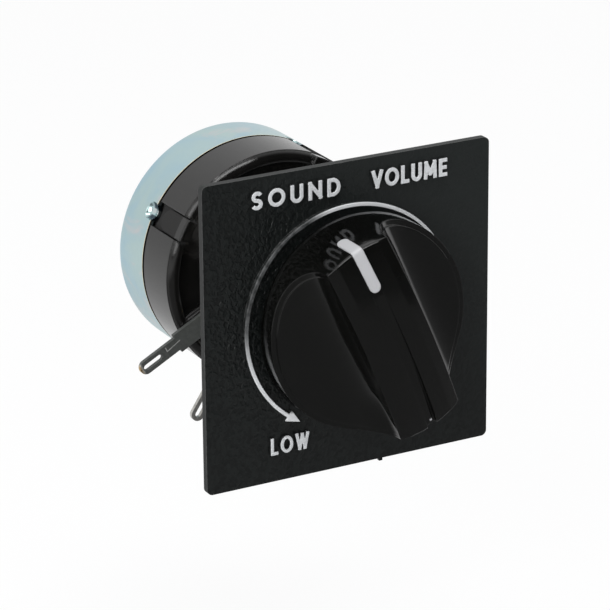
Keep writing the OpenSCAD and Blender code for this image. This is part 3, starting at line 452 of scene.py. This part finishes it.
def tarnished_lug():
    """Dark oxidised lug whose rounded tip shows the brass, and whose stamped tick has its edge
    glint painted as a bright line.
    """
    s = Shader("tarnished_lug", Specular_IOR_Level=0.35)
    mark = s.noise(1500, detail=4, roughness=0.65)
    tip = s.ramp(s.radius(), 33.0 * MM, 33.7 * MM)
    # painted highlight: the glint on the stamped tick's edge is a bright metal line; the tick's
    # long stroke runs at a slant of one in ten along the lug, and its short stroke goes across from
    # the far end
    along, across = s.turned(LUG_DIRECTION)
    off_stroke = s.math("SUBTRACT", across, s.math("MULTIPLY_ADD", along, 0.1, -2.79 * MM))
    long_stroke = s.product(s.within(off_stroke, 0.0, 0.13 * MM, 0.07 * MM),
                            s.ramp(along, 24.0 * MM, 24.3 * MM),
                            s.ramp(along, 27.5 * MM, 27.4 * MM))
    short_stroke = s.product(s.within(along, 27.36 * MM, 0.13 * MM, 0.07 * MM),
                             s.ramp(off_stroke, -0.95 * MM, -0.9 * MM),
                             s.ramp(off_stroke, 0.1 * MM, 0.0))
    bright = s.math("MAXIMUM", tip, s.math("MAXIMUM", long_stroke, short_stroke))
    oxide = s.mix(s.ramp(mark, 0.35, 0.65), OXIDE_DARK, OXIDE_LIGHT)
    metal = s.mix(tip, TICK_GLINT, BARE_BRASS)
    return s.out(Base_Color=s.mix(bright, oxide, metal), Metallic=s.product(bright, 0.9),
                 Roughness=s.ramp(mark, 0.3, 0.7, 0.40, 0.52),
                 Normal=s.bump(mark, 0.012 * MM, 0.5, under=s.rounded(0.15 * MM)))


def laminate():
    """Brown paper laminate with a fibrous grain."""
    s = Shader("brown_laminate", Specular_IOR_Level=0.35)
    fibre = s.noise(900, detail=5, roughness=0.7, stretch=(1, 5, 0.4))
    return s.out(Base_Color=s.mix(s.ramp(fibre, 0.3, 0.7), LAMINATE_DARK, LAMINATE_LIGHT),
                 Roughness=s.ramp(fibre, 0.3, 0.7, 0.45, 0.6),
                 Normal=s.bump(fibre, 0.03 * MM, 0.5))


def wound_wire():
    """Close-wound resistance wire: fine ribs that run across the band, spaced round the axis."""
    ribs_in_a_turn = 430.0
    s = Shader("wound_wire", Metallic=1.0)
    x, _, z = s.axes()
    turn = s.product(s.math("ARCTAN2", z, x), ribs_in_a_turn)
    rib = s.math("MULTIPLY_ADD", s.math("SINE", turn), 0.5, 0.5)
    return s.out(Base_Color=s.mix(rib, WIRE_GAP, WIRE_CREST),
                 Roughness=s.ramp(s.noise(200), 0.3, 0.7, 0.28, 0.42),
                 Normal=s.bump(rib, 0.12 * MM, 0.8))


def carbon():
    """Sintered carbon shoe."""
    s = Shader("sintered_carbon", Specular_IOR_Level=0.3)
    grain = s.noise(6000, detail=4, roughness=0.7)
    return s.out(Base_Color=s.mix(grain, CARBON_DARK, CARBON_LIGHT),
                 Roughness=s.ramp(grain, 0.3, 0.7, 0.5, 0.7),
                 Normal=s.bump(grain, 0.02 * MM, 0.6))


BLACK_PLATE = grained_black()
LETTER_PAINT = letter_paint()
KNOB_BLACK = gloss_black()
PHENOLIC = phenolic()
ZINC = bright_zinc()
LAMINATE = laminate()
WIRE = wound_wire()
CARBON = carbon()
DARK_LUG = tarnished_lug()
TURNING_MARKS = (0.3, 4, 0.3)
TIN = worked_metal("tinned_lug", (0.36, 0.35, 0.33, 1), (0.60, 0.59, 0.56, 1), 0.34, 1200,
                   depth=0.02 * MM)
NICKEL = worked_metal("nickel", (0.50, 0.49, 0.46, 1), (0.62, 0.60, 0.57, 1), 0.22, 900)
BRASS = worked_metal("turned_brass", (0.52, 0.37, 0.15, 1), (0.66, 0.49, 0.22, 1), 0.24, 800,
                     TURNING_MARKS)
BRONZE = worked_metal("spring_bronze", (0.42, 0.24, 0.12, 1), (0.58, 0.36, 0.19, 1), 0.3, 900)
STEEL = worked_metal("steel", (0.40, 0.40, 0.40, 1), (0.55, 0.55, 0.54, 1), 0.27, 1100,
                     TURNING_MARKS)

FINISHES = {
    "faceplate": BLACK_PLATE, "knob": KNOB_BLACK, "body_housing": PHENOLIC, "rear_cover": ZINC,
    "front_nut": NICKEL, "jam_nut": NICKEL, "lock_washer": NICKEL, "bushing": BRASS,
    "insulating_disc": LAMINATE, "series_former": LAMINATE, "shunt_former": LAMINATE,
    "element_spacer": LAMINATE, "rear_spacer": LAMINATE, "thrust_washer": LAMINATE,
    "rotor_disc": LAMINATE, "series_winding": WIRE, "shunt_winding": WIRE,
    "input_terminal": TIN, "common_terminal": TIN, "output_terminal": DARK_LUG,
    "series_lead": TIN, "shunt_lead": TIN, "terminal_rivets": BRASS, "collector_ring": BRASS,
    "rotor_hub": BRASS, "clinch_washer": BRASS, "collector_spring": BRONZE,
    "series_wiper": BRONZE, "shunt_wiper": BRONZE, "series_contact": CARBON,
    "shunt_contact": CARBON, "knob_spring": STEEL, "shaft": STEEL, "retaining_ring": STEEL,
}
for node_name, finish in FINISHES.items():
    node_object = NODES[node_name]
    node_object.data.materials.clear()
    node_object.data.materials.append(finish)


# ---------- raised letters ----------

LETTER_TALL = 3.5 * MM
STROKE, THIN_STROKE = 0.74 * MM, 0.62 * MM
# how far letters stand out of the plate and are sunk into it
LETTER_RELIEF, LETTER_ROOT = 0.75 * MM, 0.2 * MM
STROKE_STEP = 0.002 * MM
ARC_POINTS = 25
FUSE_VOXEL = 0.07 * MM

# Each letter's width, and its strokes in a box one unit tall: lines as two or more points, and
# arcs as (centre x, centre z, radius x, radius z, from degrees, to degrees).
GLYPHS = {
    "D": (0.74, [[(0.09, 0.1), (0.09, 0.9)], [(0.09, 0.9), (0.3, 0.9)], [(0.09, 0.1), (0.3, 0.1)],
                 (0.3, 0.5, 0.36, 0.4, -90, 90)]),
    "E": (0.56, [[(0.09, 0.1), (0.09, 0.9)], [(0.09, 0.9), (0.47, 0.9)],
                 [(0.09, 0.5), (0.43, 0.5)], [(0.09, 0.1), (0.47, 0.1)]]),
    "G": (0.96, [(0.49, 0.5, 0.4, 0.4, 42, 360), [(0.55, 0.46), (0.89, 0.46)]]),
    "H": (0.72, [[(0.09, 0.1), (0.09, 0.9)], [(0.63, 0.1), (0.63, 0.9)],
                 [(0.09, 0.5), (0.63, 0.5)]]),
    "I": (0.20, [[(0.1, 0.1), (0.1, 0.9)]]),
    "L": (0.54, [[(0.09, 0.9), (0.09, 0.1)], [(0.09, 0.1), (0.45, 0.1)]]),
    "M": (0.90, [[(0.09, 0.1), (0.13, 0.9)], [(0.13, 0.88), (0.45, 0.3)],
                 [(0.45, 0.3), (0.77, 0.88)], [(0.77, 0.9), (0.81, 0.1)]]),
    "N": (0.78, [[(0.09, 0.1), (0.09, 0.9)], [(0.09, 0.88), (0.69, 0.12)],
                 [(0.69, 0.1), (0.69, 0.9)]]),
    "O": (0.98, [(0.49, 0.5, 0.4, 0.4, 0, 360)]),
    "S": (0.64, [(0.33, 0.70, 0.22, 0.2, 25, 270), (0.31, 0.30, 0.23, 0.2, -155, 90)]),
    "U": (0.72, [[(0.09, 0.9), (0.09, 0.36)], [(0.63, 0.9), (0.63, 0.36)],
                 (0.36, 0.37, 0.27, 0.27, 180, 360)]),
    "V": (0.76, [[(0.08, 0.9), (0.38, 0.1)], [(0.68, 0.9), (0.38, 0.1)]]),
    "W": (1.06, [[(0.08, 0.9), (0.31, 0.1)], [(0.31, 0.1), (0.53, 0.88)],
                 [(0.53, 0.88), (0.75, 0.1)], [(0.75, 0.1), (0.98, 0.9)]]),
}


def stroke_path(stroke):
    """Points along one stroke: a line as given, or an arc, in even steps of its angle a.

    The arc's points are its centre plus its two radii times cos(a) and sin(a).
    """
    if isinstance(stroke, list):
        return np.array(stroke, float)
    cx, cz, rx, rz, start, end = stroke
    angle = np.radians(np.linspace(start, end, ARC_POINTS))
    return np.stack([cx + rx * np.cos(angle), cz + rz * np.sin(angle)], -1)


def stroke_bar(path, width, low, high):
    """Closed bar: a rectangular profile carried along a flat path, from y = low to y = high.

    The corners at each point are the point plus and minus half a width, square to the path's
    direction there, at both heights. A straight bar also runs on by half a width at its ends.
    """
    straight = len(path) == 2
    step = np.repeat(path[1:] - path[:1], 2, 0) if straight else np.gradient(path, axis=0)
    step /= np.linalg.norm(step, axis=1, keepdims=True)
    side = np.stack([-step[:, 1], step[:, 0]], -1) * width / 2
    if straight:
        path = path + step * width / 2 * np.array([[-1], [1]])
    rows = len(path)
    edges = np.concatenate([path + side, path - side])
    verts = np.concatenate([np.insert(edges, 1, y, axis=1) for y in (low, high)])
    i = np.arange(rows - 1)
    lid = np.stack([i, i + 1, i + 1 + rows, i + rows], -1)
    faces = [lid, lid[:, ::-1] + 2 * rows]
    for near, turn in ((0, 1), (rows, -1)):
        wall = [i + near, i + near + 2 * rows, i + 1 + near + 2 * rows, i + 1 + near]
        faces.append(np.stack(wall, -1)[:, ::turn])
    faces.append(np.array([[0, rows, 3 * rows, 2 * rows]]))
    faces.append(np.array([[rows - 1, 3 * rows - 1, 4 * rows - 1, 2 * rows - 1]]))
    return verts, np.concatenate(faces)


def word_bars(word, left, right, base, stroke, condense):
    """Bars of a word that stands on a base line, spread evenly from left to right.

    Strokes of one letter differ a little in height, so that no two tops lie in one plane.
    """
    scale = LETTER_TALL * condense
    bare = sum(GLYPHS[letter][0] for letter in word) * scale
    gap = (right - left - bare) / (len(word) - 1)
    bars, x = [], left
    for letter in word:
        width, strokes = GLYPHS[letter]
        for index, shape in enumerate(strokes):
            path = stroke_path(shape) * (scale, LETTER_TALL) + (x, base)
            top = PLATE_FRONT - LETTER_RELIEF - STROKE_STEP * index
            bars.append(stroke_bar(path, stroke, top, PLATE_FRONT + LETTER_ROOT))
        x += width * scale + gap
    return bars


def raised_word(name, bars):
    """One word, its bars fused by a fine remesh and then smoothed."""
    first = np.cumsum([0] + [len(verts) for verts, _ in bars])
    piece = new_object(name, np.concatenate([verts for verts, _ in bars]),
                       np.concatenate([faces + start for (_, faces), start in zip(bars, first)]))
    remesh = piece.modifiers.new("fuse", "REMESH")
    remesh.mode = "VOXEL"
    remesh.voxel_size = FUSE_VOXEL
    remesh.use_smooth_shade = True
    soften = piece.modifiers.new("soften", "SMOOTH")
    soften.factor = 0.5
    soften.iterations = 2
    bpy.context.view_layer.update()
    graph = bpy.context.evaluated_depsgraph_get()
    fused = bpy.data.meshes.new_from_object(piece.evaluated_get(graph))
    piece.modifiers.clear()
    piece.data = fused
    fused.materials.clear()
    fused.materials.append(LETTER_PAINT)
    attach(piece, "fixed_body")


UPPER_LINE, LOWER_LINE = 23.9 * MM, -24.9 * MM
# name, word, left and right in mm from the plate's middle, line, stroke, share of full width
LEGEND = (("legend_sound", "SOUND", -20.4, -2.1, UPPER_LINE, STROKE, 1.0),
          ("legend_volume", "VOLUME", 4.7, 20.6, UPPER_LINE, STROKE, 0.8),
          ("legend_low", "LOW", -17.0, -9.1, LOWER_LINE, THIN_STROKE, 0.72),
          ("legend_high", "HIGH", 9.1, 17.2, LOWER_LINE, THIN_STROKE, 0.68))
for name, word, left, right, line, stroke, condense in LEGEND:
    raised_word(name, word_bars(word, PLATE_CENTRE_X + left * MM, PLATE_CENTRE_X + right * MM,
                                line, stroke, condense))


# ---------- threaded bushing ----------

THREAD_MAJOR = 9.525 / 2 * MM
THREAD_PITCH = 25.4 * MM / 32
THREAD_DEPTH = 0.45 * MM
THREAD_RUN_IN = 0.6 * MM
THREAD_CREASE = math.radians(28)
BUSHING_BORE = 3.225 * MM
BUSHING_CHAMFER = 0.5 * MM
BUSHING_ROOT = THREAD_MAJOR - 0.3 * MM
FLANGE_THICK = 1.3 * MM
# crests stay this far inside the plain bushing that the thread replaces
INSIDE_CAD = 0.01 * MM
COLUMNS, ROWS_A_TURN = 64, 8


def threaded_bushing():
    """Turned bushing with a helical V thread.

    The outside at turn t and place y has radius R - depth * v(y / pitch - t), where v is a
    triangle wave from 0 to 1 with flattened crests and roots, which grows over the first part
    of the thread. The bore, the mouth's chamfer and the flange are rings of the same profile.
    """
    low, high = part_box("bushing")
    mouth, back, flange_radius = low[1], high[1], high[0]
    flange_front = back - FLANGE_THICK
    head = [(BUSHING_BORE, mouth), (THREAD_MAJOR - BUSHING_CHAMFER - 2 * INSIDE_CAD, mouth)]
    tail = [(BUSHING_ROOT, flange_front), (flange_radius, flange_front), (flange_radius, back),
            (BUSHING_BORE, back)]
    angle = np.linspace(0, 2 * np.pi, COLUMNS, endpoint=False)
    thread = np.arange(mouth + BUSHING_CHAMFER, flange_front - 0.1 * MM,
                       THREAD_PITCH / ROWS_A_TURN)
    turns = thread[:, None] / THREAD_PITCH - angle / (2 * np.pi)
    wave = np.clip(np.abs(2 * (turns % 1) - 1) * 1.25 - 0.12, 0, 1)
    growth = np.clip((thread - thread[0]) / THREAD_RUN_IN, 0.15, 1)[:, None]
    outside = THREAD_MAJOR - THREAD_DEPTH * wave * growth - INSIDE_CAD
    radius = np.concatenate([np.repeat([[r] for r, _ in head], COLUMNS, 1), outside,
                             np.repeat([[r] for r, _ in tail], COLUMNS, 1)])
    place = np.concatenate([[y for _, y in head], thread, [y for _, y in tail]])
    verts = np.stack([radius * np.cos(angle), np.repeat(place[:, None], COLUMNS, 1),
                      radius * np.sin(angle)], -1).reshape(-1, 3)
    piece = new_object("threaded_bushing", verts, grid_faces(len(place), COLUMNS, closed=True))
    piece.data.materials.append(NICKEL)
    piece.data.shade_smooth()
    piece.data.set_sharp_from_angle(angle=THREAD_CREASE)
    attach(piece, "fixed_body")
    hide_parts("bushing")


threaded_bushing()


# ---------- camera, lamps, floor and world ----------

CAMERA_PLACE = Vector((-0.29951, -0.56525, 0.22996))
CAMERA_AIM = Vector((-0.00741, -0.02372, 0.00150))
CAMERA_ROLL = math.radians(-0.52)
CAMERA_LENS = 207.9
CAMERA_SENSOR = 36

FLOOR_LEVEL = -0.085
FLOOR_REACH = 4.0
FLOOR_BACK = 1.0
FLOOR_BEND = 1.6
FLOOR_COLUMNS, FLOOR_ROWS = 9, 40
FLOOR_GLOW = 0.9
SKY_LIGHT = 0.46
# what mirrors lose of the floor in front of the part, near and far, and keep of the world
NEAR_LOSS, FAR_LOSS, FRONT_SKY = 0.84, 0.12, 0.06


def make_camera():
    data = bpy.data.cameras.new("camera")
    data.lens = CAMERA_LENS
    data.sensor_width = CAMERA_SENSOR
    camera = bpy.data.objects.new("camera", data)
    bpy.context.scene.collection.objects.link(camera)
    camera.location = CAMERA_PLACE
    camera.rotation_mode = "QUATERNION"
    camera.rotation_quaternion = ((CAMERA_AIM - CAMERA_PLACE).to_track_quat("-Z", "Y")
                                  @ Quaternion((0, 0, 1), CAMERA_ROLL))
    bpy.context.scene.camera = camera


def soft_box(name, place, size, power):
    """Rectangular lamp that faces the origin."""
    data = bpy.data.lights.new(name, "AREA")
    data.shape = "RECTANGLE"
    data.size, data.size_y = size
    data.energy = power
    lamp = bpy.data.objects.new(name, data)
    bpy.context.scene.collection.objects.link(lamp)
    lamp.location = place
    lamp.rotation_mode = "QUATERNION"
    lamp.rotation_quaternion = (-Vector(place)).to_track_quat("-Z", "Y")


def floor_paper():
    """Pale paper that is seen as nearly white, and takes some of the part's shadow.

    In mirrors it falls off in front of the part, but for the far left, as a table that is lit
    from there does towards a dark room.
    """
    s = Shader("floor_paper", Specular_IOR_Level=0.2, Roughness=0.8)
    s.out(Base_Color=s.mix(s.noise(9), PAPER_DIM, PAPER_BRIGHT))
    x, y, _ = s.axes()
    near = s.product(s.ramp(y, 0.10, -0.03, 0.0, NEAR_LOSS), s.ramp(x, -0.45, -0.25))
    far = s.ramp(y, -0.36, -0.60, 0.0, FAR_LOSS)
    dimmed = s.product(s.mirror_ray(), s.math("ADD", near, far))
    glow = s.node("ShaderNodeEmission")
    s.feed(glow.inputs["Strength"], s.math("SUBTRACT", 1.0, dimmed))
    seen = s.product(s.seen_ray(), FLOOR_GLOW)
    s.feed(s.nodes["Material Output"].inputs["Surface"],
           s.blend(seen, s.surface.outputs[0], glow.outputs[0]))
    return s.material


def make_floor():
    """Sheet that is flat for the first half of v and then curves up far behind the part.

    The rise is a quarter circle: back + bend * sin(a) by bend * (1 - cos(a)), for a from 0 to a
    right angle.
    """
    u = np.linspace(-FLOOR_REACH, FLOOR_REACH, FLOOR_COLUMNS)
    v = np.linspace(0, 1, FLOOR_ROWS)
    flat = v < 0.5
    rise = (v - 0.5) * np.pi
    y = np.where(flat, -FLOOR_REACH + v * 2 * (FLOOR_BACK + FLOOR_REACH),
                 FLOOR_BACK + FLOOR_BEND * np.sin(rise))
    z = np.where(flat, FLOOR_LEVEL, FLOOR_LEVEL + FLOOR_BEND * (1 - np.cos(rise)))
    verts = np.stack(np.broadcast_arrays(u[None, :], y[:, None], z[:, None]), -1).reshape(-1, 3)
    floor = new_object("floor", verts, grid_faces(len(v), len(u)))
    floor.data.shade_smooth()
    floor.data.materials.append(floor_paper())


def make_world():
    """Even light that is seen as white, and in mirrors is dim on the camera's side."""
    world = bpy.data.worlds.new("studio")
    bpy.context.scene.world = world
    world.use_nodes = True
    w = NodeTree(world.node_tree)

    def sky(colour, strength):
        made = w.node("ShaderNodeBackground")
        w.feed(made.inputs["Color"], colour)
        w.feed(made.inputs["Strength"], strength)
        return made.outputs[0]

    split = w.node("ShaderNodeSeparateXYZ")
    w.feed(split.inputs[0], w.node("ShaderNodeTexCoord").outputs["Generated"])
    front = w.ramp(split.outputs["Y"], 0.1, -0.45)
    seen = w.blend(w.product(front, w.mirror_ray()), sky(WHITE, 1.0), sky(WHITE, FRONT_SKY))
    w.feed(w.nodes["World Output"].inputs["Surface"],
           w.blend(w.seen_ray(), sky(SKY, SKY_LIGHT), seen))


make_camera()
make_floor()
make_world()
soft_box("key", (-1.05, -0.66, 0.55), (0.8, 1.1), 11)
soft_box("top", (-0.15, -0.32, 1.2), (0.9, 0.35), 8)

bpy.context.scene.view_settings.view_transform = "Standard"
